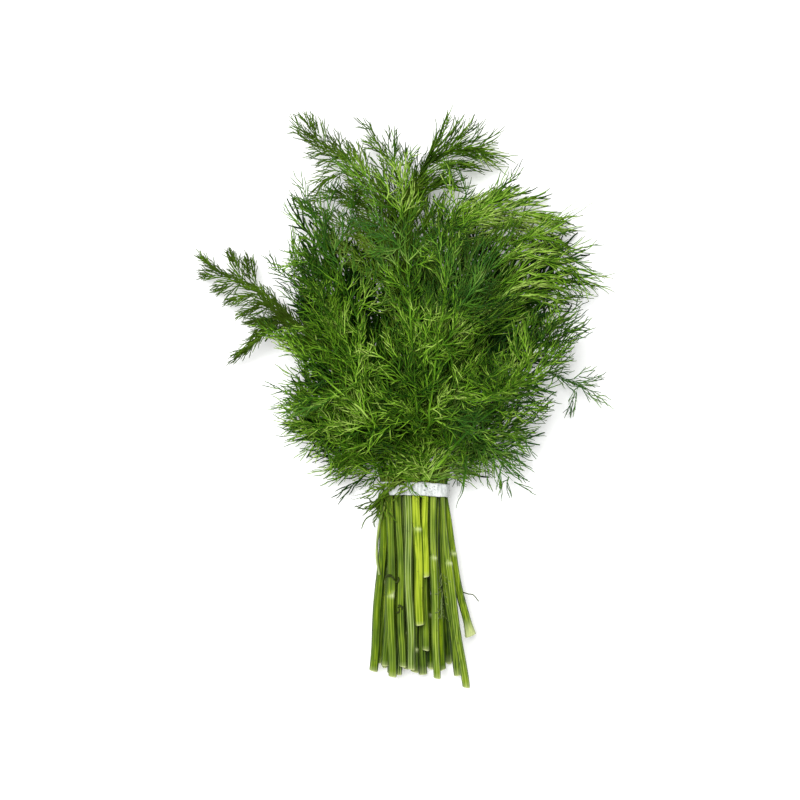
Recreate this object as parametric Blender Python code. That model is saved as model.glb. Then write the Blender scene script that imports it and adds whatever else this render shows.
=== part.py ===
"""A tied bunch of cut dill lying on a table, for Blender 4.5, in metres with +Z up.

The cut ends point to -Y and the fronds to +Y. The stalks pass through a flat band in four rows.
Past the band each stalk carries one feathery frond, which fans out in its row's layer of the mound.
The bunch is laid out from the middle of the band, on the table, and then moved so that the middle
of its footprint is the origin.
"""

import math
from collections import namedtuple

import bmesh
import bpy
from mathutils import Vector

# One stalk: where it crosses the band, its radius, its cut end, the joint where a leaf once left it
# (None without one), the way its frond points (degrees from +Y towards +X) and how far it reaches.
Stalk = namedtuple("Stalk", "tie_x radius cut_x cut_y joint_y heading reach")

# The rows from the table up, each from left to right.
ROWS = (
    (
        Stalk(-0.0110, 0.0021, -0.0160, -0.0980, None, -70, 0.098),
        Stalk(-0.0055, 0.0022, -0.0090, -0.1010, -0.066, -34, 0.140),
        Stalk(0.0000, 0.0023, 0.0000, -0.0970, None, -2, 0.165),
        Stalk(0.0055, 0.0022, 0.0090, -0.1000, -0.071, 40, 0.165),
        Stalk(0.0110, 0.0020, 0.0190, -0.0960, None, 94, 0.078),
    ),
    (
        Stalk(-0.0138, 0.0021, -0.0195, -0.0960, -0.052, -84, 0.076),
        Stalk(-0.0083, 0.0023, -0.0128, -0.1030, None, -46, 0.176),
        Stalk(-0.0028, 0.0022, -0.0040, -0.1000, -0.080, -11, 0.206),
        Stalk(0.0028, 0.0023, 0.0046, -0.1020, None, 8, 0.185),
        Stalk(0.0083, 0.0021, 0.0138, -0.0990, -0.060, 25, 0.187),
        Stalk(0.0138, 0.0022, 0.0240, -0.1030, None, 67, 0.113),
    ),
    (
        Stalk(-0.0165, 0.0023, -0.0228, -0.1015, None, -98, 0.066),
        Stalk(-0.0110, 0.0021, -0.0165, -0.0985, -0.044, -62, 0.092),
        Stalk(-0.0055, 0.0020, -0.0092, -0.1035, None, -37, 0.150),
        Stalk(0.0000, 0.0022, 0.0000, -0.1020, -0.089, -22, 0.222),
        Stalk(0.0055, 0.0020, 0.0062, -0.0900, None, 10, 0.209),
        Stalk(0.0110, 0.0023, 0.0150, -0.1010, None, 38, 0.160),
        Stalk(0.0165, 0.0021, 0.0312, -0.0820, -0.036, 70, 0.091),
    ),
    (
        Stalk(-0.0140, 0.0022, -0.0122, -0.1040, -0.059, -76, 0.083),
        Stalk(-0.0090, 0.0020, -0.0066, -0.0985, None, -47, 0.126),
        Stalk(-0.0040, 0.0021, -0.0019, -0.1000, None, -26, 0.162),
        Stalk(0.0012, 0.0024, 0.0030, -0.0755, -0.022, -7, 0.182),
        Stalk(0.0060, 0.0018, 0.0068, -0.0490, None, 11, 0.184),
        Stalk(0.0104, 0.0019, 0.0124, -0.1050, -0.038, 30, 0.180),
        Stalk(0.0150, 0.0020, 0.0285, -0.1100, -0.041, 53, 0.118),
    ),
)

CLEARANCE = 0.0003

# The flat tie.
BAND_WIDTH = 0.0072
BAND_WALL = 0.0010
BAND_CORNERS = 36

# Stalks. ROW_PITCH is the height of a row in the band, and CUT_ROW_PITCH the same at the cut ends.
ROW_PITCH = 0.0051
CUT_ROW_PITCH = 0.0052
STALK_SIDES = 8
STALK_STATIONS = 6
STRAIGHT_IN_BAND = 0.005
SPREAD_CURVE = 1.15
JOINT_SWELL = 1.18
JOINT_HALF_LENGTH = 0.0035
ABOVE_JOINT = 0.80

# Fronds. A frond turns to its heading over its bend: the outer ones turn sooner.
FROND_START = 0.012
EDGE_BEND = 0.030
CENTRE_BEND = 0.075
PATH_STEP = 0.001
LEAFLET_STEP = 0.009
LEAFLET_NOTCH = 0.52
LEAFLET_RAKE = 0.006
FROND_HALF_WIDTH = 0.026
FROND_GAP = 0.0007
LAYER_GAP = 0.0010
OUTER_COLUMN_SPREAD = 13
TAPER_POWER = 2.6
FROND_SECTION = ((1, 0), (0.62, 0.8), (0, 1), (-0.62, 0.8), (-1, 0), (-0.62, -0.8), (0, -1), (0.62, -0.8))

# The mound of fronds. It is fully fanned out this far past the band.
FANNED_AT = 0.040
BAND_HEIGHT = 0.0215
MOUND_HEIGHT = 0.080
EDGE_HEIGHT = 0.027
MOUND_MIDDLE = (0.011, 0.088)
MOUND_HALF_WIDTH = 0.098
MOUND_HALF_LENGTH = 0.102
MOUND_RISE = (-0.005, 0.055)
DOME_FLATNESS = 2.4
DOME_POWER = 0.8

# The small leaf below the band: along it, the share of its length and of its width.
SPRIG_PROFILE = ((0, 0.2), (0.25, 0.75), (0.5, 1.0), (0.75, 0.8), (1, 0.25))
SPRIG_DIRECTION = (-0.86, -0.50, -0.10)
SPRIG_ROOT_Y = -0.009
SPRIG_ROOT_OUT = 0.0036
SPRIG_LENGTH = 0.017
SPRIG_HALF_WIDTH = 0.0050
SPRIG_HALF_HEIGHT = 0.0035
SPRIG_SIDES = 6

STALK_GREEN = (0.150, 0.240, 0.030)
FROND_GREEN = (0.050, 0.115, 0.010)
BAND_WHITE = (0.80, 0.80, 0.77)


def smooth(share):
    """0 to 1, with level ends."""
    share = min(1.0, max(0.0, share))
    return share * share * (3 - 2 * share)


def mix(low, high, share):
    return low + (high - low) * share


# The fan in plan and the mound in height.


def plan_path(heading, tie_x, distances):
    """Plan points at these distances past the band of a stalk that leaves along +Y and turns."""
    bend = mix(CENTRE_BEND, EDGE_BEND, min(1.0, abs(heading) / 90))
    x, y, gone = tie_x, 0.0, 0.0
    found = []
    for distance in distances:
        while gone < distance - 1e-9:
            step = min(PATH_STEP, distance - gone)
            angle = math.radians(heading) * smooth((gone + step / 2) / bend)
            x += step * math.sin(angle)
            y += step * math.cos(angle)
            gone += step
        found.append((x, y))
    return found


def mound_height(x, y):
    """Height of the mound above the table."""
    out_x = (x - MOUND_MIDDLE[0]) / MOUND_HALF_WIDTH
    out_y = (y - MOUND_MIDDLE[1]) / MOUND_HALF_LENGTH
    dome = max(0.0, 1 - math.hypot(out_x, out_y) ** DOME_FLATNESS) ** DOME_POWER
    start, end = MOUND_RISE
    return EDGE_HEIGHT + (MOUND_HEIGHT - EDGE_HEIGHT) * dome * smooth((y - start) / (end - start))


def layer_bounds(row, x, y, distance):
    """Lowest and highest Z of a row: its pitch in the band, and its share of the mound beyond."""
    fanned = smooth(distance / FANNED_AT)
    height = mix(BAND_HEIGHT, mound_height(x, y), fanned)
    bounds = []
    for level in (row, row + 1):
        packed = BAND_WALL + CLEARANCE + level * ROW_PITCH
        bounds.append(mix(packed, height * level / len(ROWS), fanned))
    return bounds


def column_edges(row, column):
    """(heading, tie_x) of the lines half way to the neighbours on the left and on the right."""
    stalks = ROWS[row]
    here = stalks[column]
    edges = []
    for side in (-1, 1):
        if 0 <= column + side < len(stalks):
            there = stalks[column + side]
            edges.append(((here.heading + there.heading) / 2, (here.tie_x + there.tie_x) / 2))
        else:
            edges.append((here.heading + side * OUTER_COLUMN_SPREAD, here.tie_x + side * ROW_PITCH / 2))
    return edges


# Meshes and objects.


def bridge(shape, first, second):
    """Faces between two loops of vertices, facing out when the loops run left over up to right."""
    for i in range(len(first)):
        j = (i + 1) % len(first)
        shape.faces.new((first[j], first[i], second[i], second[j]))


def to_mesh(name, shape):
    mesh_data = bpy.data.meshes.new(name)
    shape.to_mesh(mesh_data)
    shape.free()
    return mesh_data


def loft(name, rings):
    """A closed mesh through rings of equally many points, with flat ends."""
    shape = bmesh.new()
    loops = [[shape.verts.new(point) for point in ring] for ring in rings]
    for first, second in zip(loops, loops[1:]):
        bridge(shape, first, second)
    shape.faces.new(loops[0])
    shape.faces.new(reversed(loops[-1]))
    return to_mesh(name, shape)


def new_object(name, mesh_data, material, holder, round_angle=None):
    if round_angle is not None:
        mesh_data.shade_smooth()
        mesh_data.set_sharp_from_angle(angle=math.radians(round_angle))
    mesh_data.materials.append(material)
    made = bpy.data.objects.new(name, mesh_data)
    bpy.context.scene.collection.objects.link(made)
    made.parent = holder
    return made


def ellipse(centre, along, sides, half_width, half_height):
    """A ring of points round a centre, square to a direction, with flats above and below."""
    across = along.cross(Vector((0, 0, 1))).normalized()
    up = across.cross(along)
    turns = [2 * math.pi * (k + 0.5) / sides for k in range(sides)]
    return [
        centre + across * math.cos(turn) * half_width + up * math.sin(turn) * half_height
        for turn in turns
    ]


# Stalks.


def stalk_radius(stalk, y):
    """Swollen at its joint and thinner above it."""
    if stalk.joint_y is None:
        return stalk.radius
    near = max(0.0, 1 - abs(y - stalk.joint_y) / JOINT_HALF_LENGTH)
    body = 1.0 if y <= stalk.joint_y else ABOVE_JOINT
    return stalk.radius * mix(body, JOINT_SWELL, near)


def stalk_centre(row, stalk, y):
    """Centre of a stalk at or below the band: straight in the band, then spreading to its cut end."""
    packed_z = BAND_WALL + CLEARANCE + (row + 0.5) * ROW_PITCH
    cut_z = stalk.radius + row * CUT_ROW_PITCH
    spread = max(0.0, (-y - STRAIGHT_IN_BAND) / (-stalk.cut_y - STRAIGHT_IN_BAND))
    x = mix(stalk.tie_x, stalk.cut_x, spread**SPREAD_CURVE)
    return Vector((x, y, mix(packed_z, cut_z, smooth(spread))))


def stalk_rings(row, stalk):
    """Rings of a stalk from its cut end to where its frond begins."""
    last = STALK_STATIONS - 1
    stations = [mix(stalk.cut_y, -STRAIGHT_IN_BAND, i / last) for i in range(STALK_STATIONS)]
    if stalk.joint_y is not None:
        stations += [stalk.joint_y + side * JOINT_HALF_LENGTH for side in (-1, 0, 1)]
    stations.sort()
    centres = [stalk_centre(row, stalk, y) for y in stations]
    radii = [stalk_radius(stalk, y) for y in stations]
    past = (STRAIGHT_IN_BAND, FROND_START - CLEARANCE)
    for distance, (x, y) in zip(past, plan_path(stalk.heading, stalk.tie_x, past)):
        low, high = layer_bounds(row, x, y, distance)
        centres.append(Vector((x, y, (low + high) / 2)))
        radii.append(stalk_radius(stalk, y))
    rings = []
    for i, (centre, radius) in enumerate(zip(centres, radii)):
        along = centres[min(i + 1, len(centres) - 1)] - centres[max(i - 1, 0)]
        rings.append(ellipse(centre, along.normalized(), STALK_SIDES, radius, radius))
    return rings


# Fronds.


def frond_outline(share, index):
    """Half width of a frond, as a share of its room: narrow at both ends, notched between leaflets."""
    envelope = smooth(0.30 + share / 0.30) * (1 - 0.92 * share**TAPER_POWER)
    return envelope * (1.0 if index % 2 else LEAFLET_NOTCH)


def frond_rings(row, column):
    """Rings of a frond from its base to its tip, inside its own room in the fan and in the layers."""
    stalk = ROWS[row][column]
    count = round((stalk.reach - FROND_START) / LEAFLET_STEP)
    shares = [i / count for i in range(count + 1)]
    outlines = [frond_outline(share, i) for i, share in enumerate(shares)]
    plans = {}
    for u in {abs(u) for u, _ in FROND_SECTION}:
        raked = [
            FROND_START + i * LEAFLET_STEP + LEAFLET_RAKE * u * outline
            for i, outline in enumerate(outlines)
        ]
        middles = plan_path(stalk.heading, stalk.tie_x, raked)
        lefts, rights = (plan_path(*edge, raked) for edge in column_edges(row, column))
        plans[u] = list(zip(raked, middles, lefts, rights))
    rings = []
    for i, share in enumerate(shares):
        thickness = mix(0.70, 0.92, smooth(share / 0.2)) * (1 - 0.70 * share**TAPER_POWER)
        ring = []
        for u, v in FROND_SECTION:
            distance, middle, left, right = plans[abs(u)][i]
            fanned = smooth(distance / FANNED_AT)
            outward = Vector(right if u > 0 else left) - Vector(middle)
            room = max(CLEARANCE, min(FROND_HALF_WIDTH, outward.length - FROND_GAP))
            x, y = Vector(middle) + outward.normalized() * abs(u) * room * outlines[i]
            low, high = layer_bounds(row, x, y, distance)
            if row > 0:
                low += LAYER_GAP * fanned
            high -= LAYER_GAP * fanned
            z = mix(low, high, (1 + v * thickness) / 2)
            if row == 0 and v < 0:
                z = mix(z, 0.0, fanned)
            ring.append(Vector((x, y, z)))
        rings.append(ring)
    return rings


def low_sprig():
    """The small leaf on the outer left stalk, just below the band."""
    row = 2
    along = Vector(SPRIG_DIRECTION).normalized()
    root = stalk_centre(row, ROWS[row][0], SPRIG_ROOT_Y) + along * SPRIG_ROOT_OUT
    rings = []
    for share, width in SPRIG_PROFILE:
        centre = root + along * SPRIG_LENGTH * share
        half_width, half_height = SPRIG_HALF_WIDTH * width, SPRIG_HALF_HEIGHT * width
        rings.append(ellipse(centre, along, SPRIG_SIDES, half_width, half_height))
    return loft("low_sprig", rings)


# The tie.


def round_all_stalks(offset):
    """Corners, in X and Z, of the tight line round every stalk in the band, moved out by an offset."""
    circles = []
    for row, stalks in enumerate(ROWS):
        for stalk in stalks:
            centre = stalk_centre(row, stalk, -STRAIGHT_IN_BAND)
            circles.append((centre.x, centre.z, stalk_radius(stalk, -STRAIGHT_IN_BAND)))
    lines = []
    for i in range(BAND_CORNERS):
        turn = 2 * math.pi * i / BAND_CORNERS
        out_x, out_z = math.cos(turn), math.sin(turn)
        lines.append((out_x, out_z, offset + max(x * out_x + z * out_z + r for x, z, r in circles)))
    corners = []
    for (ax, az, a), (bx, bz, b) in zip(lines, lines[1:] + lines[:1]):
        turned = ax * bz - az * bx
        corners.append(((a * bz - az * b) / turned, (ax * b - a * bx) / turned))
    return corners


def tie_band():
    """A flat closed band, drawn tight round the stalks."""
    inner = round_all_stalks(CLEARANCE)
    outer = round_all_stalks(CLEARANCE + BAND_WALL)
    half = BAND_WIDTH / 2
    shape = bmesh.new()
    loops = [
        [shape.verts.new((x, y, z)) for x, z in corners]
        for corners, y in ((inner, half), (inner, -half), (outer, -half), (outer, half))
    ]
    for first, second in zip(loops, loops[1:] + loops[:1]):
        bridge(shape, first, second)
    return to_mesh("tie_band", shape)


def finish(name, colour, roughness):
    material = bpy.data.materials.new(name)
    material.use_nodes = True
    shader = material.node_tree.nodes["Principled BSDF"]
    shader.inputs["Base Color"].default_value = (*colour, 1)
    shader.inputs["Roughness"].default_value = roughness
    shader.inputs["Metallic"].default_value = 0.0
    return material


def centre_on_origin(holder, pieces):
    """Moves the holder so that the origin is under the middle of the footprint."""
    points = [vertex.co for piece in pieces for vertex in piece.data.vertices]
    low = [min(point[axis] for point in points) for axis in range(3)]
    high = [max(point[axis] for point in points) for axis in range(3)]
    holder.location = (-(low[0] + high[0]) / 2, -(low[1] + high[1]) / 2, -low[2])


def main():
    for leftover in list(bpy.data.objects):
        bpy.data.objects.remove(leftover)
    holder = bpy.data.objects.new("bunch", None)
    bpy.context.scene.collection.objects.link(holder)
    stalk_green = finish("stalk_green", STALK_GREEN, 0.45)
    frond_green = finish("frond_green", FROND_GREEN, 0.60)
    band_white = finish("band_white", BAND_WHITE, 0.55)

    pieces = [
        new_object("tie_band", tie_band(), band_white, holder, 30),
        new_object("low_sprig", low_sprig(), frond_green, holder),
    ]
    for row, stalks in enumerate(ROWS):
        for column, stalk in enumerate(stalks):
            number = len(pieces) // 2
            name = f"stalk_{number:02d}"
            mesh_data = loft(name, stalk_rings(row, stalk))
            pieces.append(new_object(name, mesh_data, stalk_green, holder, 50))
            name = f"frond_{number:02d}"
            mesh_data = loft(name, frond_rings(row, column))
            pieces.append(new_object(name, mesh_data, frond_green, holder))
    centre_on_origin(holder, pieces)


main()
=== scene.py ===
import math

import bpy
import numpy as np
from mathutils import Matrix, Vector, geometry, noise


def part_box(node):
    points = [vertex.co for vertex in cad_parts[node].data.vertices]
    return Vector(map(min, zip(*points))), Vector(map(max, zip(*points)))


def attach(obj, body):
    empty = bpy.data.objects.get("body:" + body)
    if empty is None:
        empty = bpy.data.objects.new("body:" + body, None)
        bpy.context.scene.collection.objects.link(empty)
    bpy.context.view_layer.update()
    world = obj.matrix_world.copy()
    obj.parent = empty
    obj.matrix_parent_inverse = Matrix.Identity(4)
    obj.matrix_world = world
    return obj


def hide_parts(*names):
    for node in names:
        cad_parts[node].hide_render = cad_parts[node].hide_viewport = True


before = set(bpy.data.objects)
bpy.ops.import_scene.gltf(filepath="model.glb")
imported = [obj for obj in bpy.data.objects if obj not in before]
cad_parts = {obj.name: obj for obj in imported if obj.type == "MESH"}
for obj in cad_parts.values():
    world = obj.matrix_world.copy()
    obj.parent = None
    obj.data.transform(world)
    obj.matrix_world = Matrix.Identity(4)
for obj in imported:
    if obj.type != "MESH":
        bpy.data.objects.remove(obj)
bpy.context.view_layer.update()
print("frame loaded")


# Node trees, for geometry and for shaders

class Wire:
    # one socket of a node tree, which Python's operators join to others
    def __init__(self, tree, socket):
        self.tree = tree
        self.socket = socket

    def math(self, operation, *others, clamp=False):
        values = dict(enumerate((self,) + others))
        return self.tree.make("ShaderNodeMath", {"operation": operation, "use_clamp": clamp}, values)

    def __add__(self, other):
        return self.math("ADD", other)

    def __sub__(self, other):
        return self.math("SUBTRACT", other)

    def __rsub__(self, other):
        return self.tree.make("ShaderNodeMath", {"operation": "SUBTRACT"}, {0: other, 1: self})

    def __mul__(self, other):
        return self.math("MULTIPLY", other)

    def __pow__(self, other):
        return self.math("POWER", other)

    __radd__ = __add__
    __rmul__ = __mul__

    def above(self, other):
        return self.math("GREATER_THAN", other)

    def ramp(self, start, gain, top=1.0):
        # rises from 0 where this is start, by gain, up to top
        return ((self - start) * gain).math("MINIMUM", top, clamp=True)


class Tree:
    def __init__(self, nodeTree):
        self.tree = nodeTree

    def make(self, kind, settings=None, values=None, out=0):
        node = self.tree.nodes.new(kind)
        for name, value in (settings or {}).items():
            if name == "stops":
                self.setStops(node.color_ramp, value)
            else:
                setattr(node, name, value)
        self.feed(node, values or {})
        return Wire(self, self.socketOf(node.outputs, out))

    def feed(self, node, values):
        # sets or links the inputs of a node; a list is linked one after another
        for key, value in values.items():
            socket = self.socketOf(node.inputs, key)
            for one in value if isinstance(value, list) else [value]:
                if isinstance(one, Wire):
                    self.tree.links.new(one.socket, socket)
                else:
                    socket.default_value = one

    def socketOf(self, sockets, key):
        if isinstance(key, int):
            return sockets[key]
        for socket in sockets:
            if socket.identifier == key:
                return socket
        return sockets[key]

    def setStops(self, ramp, stops):
        while len(ramp.elements) > 1:
            ramp.elements.remove(ramp.elements[0])
        for number, (place, colour) in enumerate(stops):
            element = ramp.elements[0] if number == 0 else ramp.elements.new(place)
            element.position = place
            element.color = (*colour, 1)


def geometryTree(name, inputs):
    group = bpy.data.node_groups.new(name, "GeometryNodeTree")
    face = group.interface
    face.new_socket("Geometry", in_out="OUTPUT", socket_type="NodeSocketGeometry")
    face.new_socket("Geometry", in_out="INPUT", socket_type="NodeSocketGeometry")
    kinds = {int: "NodeSocketInt", float: "NodeSocketFloat"}
    for label, value in inputs.items():
        kind = "NodeSocketMaterial" if value is None else kinds[type(value)]
        socket = face.new_socket(label, in_out="INPUT", socket_type=kind)
        if value is not None:
            socket.default_value = value
    tree = Tree(group)
    entry = group.nodes.new("NodeGroupInput")
    wires = {socket.name: Wire(tree, socket) for socket in entry.outputs if socket.name}
    return tree, wires


def endTree(tree, geometry, material=None):
    if material:
        geometry = tree.make("GeometryNodeRealizeInstances", {}, {"Geometry": geometry})
        geometry = tree.make("GeometryNodeSetMaterial", {}, {"Geometry": geometry, "Material": material})
    leave = tree.tree.nodes.new("NodeGroupOutput")
    tree.tree.links.new(geometry.socket, leave.inputs[0])
    return tree.tree


def attribute(tree, name):
    return tree.make("GeometryNodeInputNamedAttribute", {"data_type": "FLOAT"}, {"Name": name}, "Attribute")


def keep(tree, geometry, name, value, domain="POINT"):
    settings = {"data_type": "FLOAT", "domain": domain}
    return tree.make("GeometryNodeStoreNamedAttribute", settings,
                     {"Geometry": geometry, "Name": name, "Value": value})


def chance(tree, low, high, seed, shift=0):
    # a random number for each point
    seed = seed + shift if shift else seed
    return tree.make("FunctionNodeRandomValue", {"data_type": "FLOAT"}, {2: low, 3: high, "Seed": seed}, 1)


def upright(tree, curve):
    return tree.make("GeometryNodeSetCurveNormal", {"mode": "Z_UP"}, {"Curve": curve})


def moveTo(tree, body, x, y, z):
    return tree.make("GeometryNodeSetPosition", {}, {"Geometry": body, "Position": joinXyz(tree, x, y, z)})


def joinXyz(tree, x, y, z):
    return tree.make("ShaderNodeCombineXYZ", {}, {"X": x, "Y": y, "Z": z})


def splitXyz(tree):
    place = tree.make("GeometryNodeInputPosition")
    split = tree.make("ShaderNodeSeparateXYZ", {}, {0: place}).socket.node
    return [Wire(tree, socket) for socket in split.outputs]


def vectorMath(tree, operation, first, second, out=0):
    return tree.make("ShaderNodeVectorMath", {"operation": operation}, {0: first, 1: second}, out)


# Dill foliage: stems carry branches, which carry smaller branches, which carry threads

def branchTree():
    # one more generation of branches, alternately left and right along every stem
    tree, wire = geometryTree("branches", {
        "Spacing": 0.006, "Bare": 0.1, "Length": 0.03, "Share": 0.5, "Shortest": 0.006, "Taper": 0.6,
        "Spread": 0.8, "Curl": 0.3, "Closing": 0.3, "Roll": 0.5, "Uneven": 0.2, "Steps": 3, "Seed": 1,
    })
    seed = wire["Seed"]
    factor = tree.make("GeometryNodeSplineParameter", out="Factor")
    length = tree.make("GeometryNodeSplineLength", out="Length")
    stems = keep(tree, wire["Geometry"], "share", factor)
    stems = keep(tree, stems, "stemLength", length)
    points = tree.make("GeometryNodeCurveToPoints", {"mode": "LENGTH"},
                       {"Curve": stems, "Length": wire["Spacing"]}, "Points")
    facing = Wire(tree, points.socket.node.outputs["Rotation"])
    share = attribute(tree, "share")
    stemLength = attribute(tree, "stemLength")
    index = tree.make("GeometryNodeInputIndex")
    side = index.math("MODULO", 2.0)
    roll = side * math.pi + chance(tree, -1.0, 1.0, seed, 1) * wire["Roll"]
    lean = wire["Closing"] * share * -1 + chance(tree, -1.0, 1.0, seed, 2) * wire["Uneven"] * 0.6
    for axis, angle in (((0, 0, 1), roll), ((0, 1, 0), lean)):
        turn = tree.make("FunctionNodeAxisAngleToRotation", {}, {"Axis": axis, "Angle": angle})
        facing = tree.make("FunctionNodeRotateRotation", {"rotation_space": "LOCAL"},
                           {"Rotation": facing, "Rotate By": turn})
    size = (stemLength * wire["Share"]).math("MINIMUM", wire["Length"])
    size = size * (1 - share * wire["Taper"]) * (1 + chance(tree, -1.0, 1.0, seed, 3) * wire["Uneven"])
    size = size.math("MAXIMUM", wire["Shortest"])
    # a branch of length 1 that leaves its stem at Spread and bends forward by Curl
    half = 0.5  # the length of either half
    outX, outZ = wire["Spread"].math("SINE") * half, wire["Spread"].math("COSINE") * half
    endAngle = wire["Spread"] - wire["Curl"]
    endX, endZ = outX + endAngle.math("SINE") * half, outZ + endAngle.math("COSINE") * half
    branch = tree.make("GeometryNodeCurveQuadraticBezier", {}, {
        "Resolution": wire["Steps"], "Start": (0, 0, 0),
        "Middle": joinXyz(tree, outX, 0.0, outZ), "End": joinXyz(tree, endX, 0.0, endZ),
    })
    grown = tree.make("GeometryNodeInstanceOnPoints", {}, {
        "Points": points, "Instance": branch, "Rotation": facing, "Scale": size,
        "Selection": share.above(wire["Bare"]),
    })
    grown = tree.make("GeometryNodeRealizeInstances", {}, {"Geometry": grown})
    return endTree(tree, upright(tree, grown))


def sway(tree, curves, size, reach, seed, held=None):
    # bends all curves by one smooth noise, so that what is joined stays joined; held is 0 where one is fixed
    place = tree.make("GeometryNodeInputPosition")
    swell = tree.make("ShaderNodeTexNoise", {"noise_dimensions": "4D"},
                      {"Vector": place, "W": seed, "Scale": 1 / size, "Detail": 1.0}, "Color")
    push = vectorMath(tree, "SUBTRACT", swell, (0.5, 0.5, 0.5))
    reach = reach * held if held else reach
    push = tree.make("ShaderNodeVectorMath", {"operation": "SCALE"}, {0: push, "Scale": reach})
    return tree.make("GeometryNodeSetPosition", {}, {"Geometry": curves, "Offset": push})


def tubes(tree, curves, sides, base, taper):
    factor = tree.make("GeometryNodeSplineParameter", out="Factor")
    ring = tree.make("GeometryNodeCurvePrimitiveCircle", {}, {"Resolution": sides, "Radius": 1.0})
    return tree.make("GeometryNodeCurveToMesh", {}, {
        "Curve": curves, "Profile Curve": ring, "Scale": base * (1 - factor * taper), "Fill Caps": True,
    })


def frondTree(branches):
    tree, wire = geometryTree("frond", {
        "Stem radius": 0.0008, "Leaflet spacing": 0.0050, "Leaflet length": 0.023, "Leaflet shortest": 0.010,
        "Leaflet spread": 0.85, "Leaflet closing": 0.25, "Leaflet taper": 0.40, "Twig spacing": 0.0019,
        "Twig length": 0.0080, "Twig spread": 0.68, "Twig curl": 0.40, "Thread spacing": 0.0028,
        "Thread length": 0.0055, "Thread spread": 0.50, "Thread radius": 0.00034, "Sway": 0.032,
        "Ripple": 0.0035, "Roll": 1.0, "Dimmest": 0.0, "Brightest": 1.0, "Lowest": 0.0006, "Highest": 0.082,
        "Cool": 1.0, "Seed": 1, "Finish": None,
    })
    seed = wire["Seed"]
    stem = upright(tree, tree.make("GeometryNodeMeshToCurve", {}, {"Mesh": wire["Geometry"]}))
    leaflets = tree.make("GeometryNodeGroup", {"node_tree": branches}, {
        "Geometry": stem, "Spacing": wire["Leaflet spacing"], "Bare": attribute(tree, "bare"),
        "Length": wire["Leaflet length"], "Share": 0.50, "Shortest": wire["Leaflet shortest"],
        "Taper": wire["Leaflet taper"], "Spread": wire["Leaflet spread"], "Closing": wire["Leaflet closing"],
        "Curl": 0.50, "Roll": wire["Roll"], "Uneven": 0.25, "Steps": 5, "Seed": seed * 7,
    })
    held = tree.make("GeometryNodeSplineParameter", out="Factor")
    leaflets = sway(tree, leaflets, 0.028, wire["Sway"], seed * 1.7, held)
    leaflets = keep(tree, leaflets, "tuft", chance(tree, -0.5, 0.5, seed, 9), "CURVE")
    twigs = tree.make("GeometryNodeGroup", {"node_tree": branches}, {
        "Geometry": leaflets, "Spacing": wire["Twig spacing"], "Bare": 0.06, "Length": wire["Twig length"],
        "Share": 0.60, "Shortest": 0.005, "Taper": 0.35, "Spread": wire["Twig spread"],
        "Curl": wire["Twig curl"], "Closing": 0.25, "Roll": 1.2, "Uneven": 0.25, "Steps": 2,
        "Seed": seed * 7 + 1,
    })
    threads = tree.make("GeometryNodeGroup", {"node_tree": branches}, {
        "Geometry": twigs, "Spacing": wire["Thread spacing"], "Bare": 0.15,
        "Length": wire["Thread length"], "Share": 2.0, "Shortest": 0.003, "Taper": 0.30,
        "Spread": wire["Thread spread"], "Curl": 0.30, "Closing": 0.15, "Roll": 1.4, "Uneven": 0.35,
        "Steps": 1, "Seed": seed * 7 + 2,
    })
    radius = wire["Thread radius"]
    stemLength = tree.make("GeometryNodeSplineLength", out="Length")
    stemRadius = wire["Stem radius"] * (stemLength * 7.0 + 0.2).math("MINIMUM", 1.0)
    parts = []
    for curves, base, taper, sides in (
        (stem, stemRadius, 0.75, 6),
        (leaflets, radius * 1.4, 0.5, 3),
        (twigs, radius * 1.1, 0.4, 3),
        (threads, radius, 0.45, 3),
    ):
        curves = keep(tree, curves, "along", tree.make("GeometryNodeSplineParameter", out="Factor"))
        tone = chance(tree, wire["Dimmest"], wire["Brightest"], seed, sides)
        curves = keep(tree, curves, "tone", tone, "CURVE")
        curves = sway(tree, curves, 0.011, wire["Ripple"], seed * 2.3)
        parts.append(tubes(tree, curves, sides, base, taper))
    whole = tree.make("GeometryNodeJoinGeometry", {}, {"Geometry": parts})
    x, y, z = splitXyz(tree)
    rested = z.math("SMOOTH_MAX", wire["Lowest"], 0.004).math("SMOOTH_MIN", wire["Highest"], 0.02)
    whole = keep(tree, moveTo(tree, whole, x, y, rested), "cool", wire["Cool"])
    return endTree(tree, tree.make("GeometryNodeSetShadeSmooth", {}, {"Geometry": whole}), wire["Finish"])


def addObject(name, data):
    made = bpy.data.objects.new(name, data)
    bpy.context.scene.collection.objects.link(made)
    return made


def bakeTree(name, pathMesh, tree, values):
    # runs a tree on a path and returns its result as a plain mesh object
    carrier = addObject(name + "Path", pathMesh)
    modifier = carrier.modifiers.new("grow", "NODES")
    modifier.node_group = tree
    for item in tree.interface.items_tree:
        if item.in_out == "INPUT" and item.name in values:
            modifier[item.identifier] = values[item.name]
    depsgraph = bpy.context.evaluated_depsgraph_get()
    mesh = bpy.data.meshes.new_from_object(carrier.evaluated_get(depsgraph))
    carrier.modifiers.remove(modifier)
    bpy.data.objects.remove(carrier)
    mesh.name = name
    return addObject(name, mesh)


def nodePoints(name):
    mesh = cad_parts[name].data
    points = np.empty(len(mesh.vertices) * 3)
    mesh.vertices.foreach_get("co", points)
    return points.reshape(-1, 3)


tieCentre = np.mean([tuple(corner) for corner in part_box("tie_band")], axis=0)


def pointsAt(wanted, gone, points):
    return np.column_stack([np.interp(wanted, gone, points[:, axis]) for axis in range(3)])


def evenly(points, count, closed=False):
    # evenly spaced points along the given ones
    gone = np.concatenate([[0], np.cumsum(np.linalg.norm(np.diff(points, axis=0), axis=1))])
    return pointsAt(np.linspace(0, gone[-1], count, endpoint=not closed), gone, points)


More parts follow.
